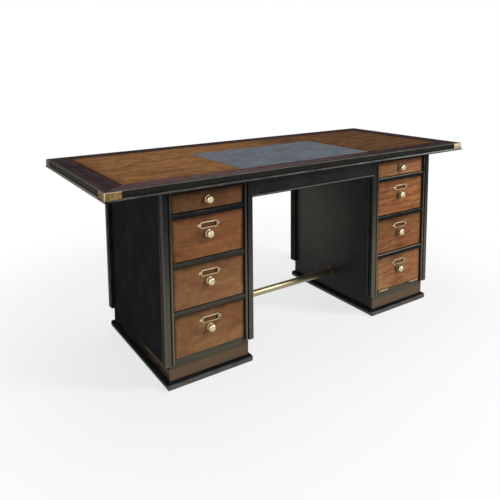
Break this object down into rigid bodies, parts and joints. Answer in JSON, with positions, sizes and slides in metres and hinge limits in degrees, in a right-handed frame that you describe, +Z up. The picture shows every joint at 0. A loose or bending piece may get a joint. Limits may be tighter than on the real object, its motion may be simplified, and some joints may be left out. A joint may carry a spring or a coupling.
{
  "type": "captains desk",
  "caption": "Pedestal captain's desk with a leather-inlaid veneered top, brass corner guards, sliding drawers, a fall-front compartment and a brass foot rod.",
  "frame": {"origin": "on the floor below the middle of the desk top", "axes": "+Z up, +X along the desk's length to the right of a person sitting at it, drawers face -Y"},
  "size_m": [1.836, 0.77, 0.77],
  "materials": {
    "black_lacquer": "black lacquer, semi-gloss, rubbed through at the edges",
    "drawer_veneer": "reddish-brown wood with burnished edges, satin lacquer",
    "drawer_lining": "plain waxed drawer stuff",
    "field_veneer": "brown figured veneer, satin lacquer",
    "border_veneer": "dark purple-brown cross-banding, satin lacquer",
    "leather": "grey-blue desk leather, dull",
    "brass_antique": "antique brass",
    "brass_polished": "polished brass"
  },
  "bodies": {
    "desk": {"apron_back": "black_lacquer", "apron_front": "black_lacquer", "corner_guards": "brass_antique", "foot_rod": "brass_polished", "foot_rod_flanges": "brass_polished", "guard_screws": "brass_antique", "hinge_pins": "brass_antique", "leather_inlay": "leather", "left_back": "black_lacquer", "left_bottom_board": "drawer_lining", "left_corner_posts": "black_lacquer", "left_cross_rails": "black_lacquer", "left_drawer_runners": "drawer_lining", "left_inner_side": "black_lacquer", "left_outer_side": "black_lacquer", "left_plinth": "black_lacquer", "right_back": "black_lacquer", "right_bottom_board": "drawer_lining", "right_corner_posts": "black_lacquer", "right_cross_rails": "black_lacquer", "right_drawer_runners": "drawer_lining", "right_inner_side": "black_lacquer", "right_outer_side": "black_lacquer", "right_plinth": "black_lacquer", "sill_hinge_leaves": "brass_antique", "top_border_veneer": "border_veneer", "top_core": "black_lacquer", "top_edge_moulding": "black_lacquer", "top_field_veneer": "field_veneer"},
    "flap": {"flap_hinge_leaves": "brass_antique", "flap_knob": "brass_antique", "flap_label_holder": "brass_antique", "flap_panel": "drawer_veneer"},
    "left_drawer_1": {"left_drawer_1_box": "drawer_lining", "left_drawer_1_front": "drawer_veneer", "left_drawer_1_knob": "brass_antique"},
    "left_drawer_2": {"left_drawer_2_box": "drawer_lining", "left_drawer_2_front": "drawer_veneer", "left_drawer_2_knob": "brass_antique", "left_drawer_2_label_holder": "brass_antique"},
    "left_drawer_3": {"left_drawer_3_box": "drawer_lining", "left_drawer_3_front": "drawer_veneer", "left_drawer_3_knob": "brass_antique", "left_drawer_3_label_holder": "brass_antique"},
    "left_drawer_4": {"left_drawer_4_box": "drawer_lining", "left_drawer_4_front": "drawer_veneer", "left_drawer_4_knob": "brass_antique", "left_drawer_4_label_holder": "brass_antique"},
    "right_drawer_1": {"right_drawer_1_box": "drawer_lining", "right_drawer_1_front": "drawer_veneer", "right_drawer_1_knob": "brass_antique"},
    "right_drawer_2": {"right_drawer_2_box": "drawer_lining", "right_drawer_2_front": "drawer_veneer", "right_drawer_2_knob": "brass_antique", "right_drawer_2_label_holder": "brass_antique"},
    "right_drawer_3": {"right_drawer_3_box": "drawer_lining", "right_drawer_3_front": "drawer_veneer", "right_drawer_3_knob": "brass_antique", "right_drawer_3_label_holder": "brass_antique"}
  },
  "joints": [
    {"name": "flap_fall", "type": "hinge", "parent": "desk", "child": "flap", "pos_m": [0, -0.3466, 0.10725], "axis": [1, 0, 0], "range_deg": [0, 90]},
    {"name": "left_drawer_1_slide", "type": "slide", "parent": "desk", "child": "left_drawer_1", "axis": [0, -1, 0], "range_m": [0, 0.4]},
    {"name": "left_drawer_2_slide", "type": "slide", "parent": "desk", "child": "left_drawer_2", "axis": [0, -1, 0], "range_m": [0, 0.4]},
    {"name": "left_drawer_3_slide", "type": "slide", "parent": "desk", "child": "left_drawer_3", "axis": [0, -1, 0], "range_m": [0, 0.4]},
    {"name": "left_drawer_4_slide", "type": "slide", "parent": "desk", "child": "left_drawer_4", "axis": [0, -1, 0], "range_m": [0, 0.4]},
    {"name": "right_drawer_1_slide", "type": "slide", "parent": "desk", "child": "right_drawer_1", "axis": [0, -1, 0], "range_m": [0, 0.4]},
    {"name": "right_drawer_2_slide", "type": "slide", "parent": "desk", "child": "right_drawer_2", "axis": [0, -1, 0], "range_m": [0, 0.4]},
    {"name": "right_drawer_3_slide", "type": "slide", "parent": "desk", "child": "right_drawer_3", "axis": [0, -1, 0], "range_m": [0, 0.4]}
  ]
}
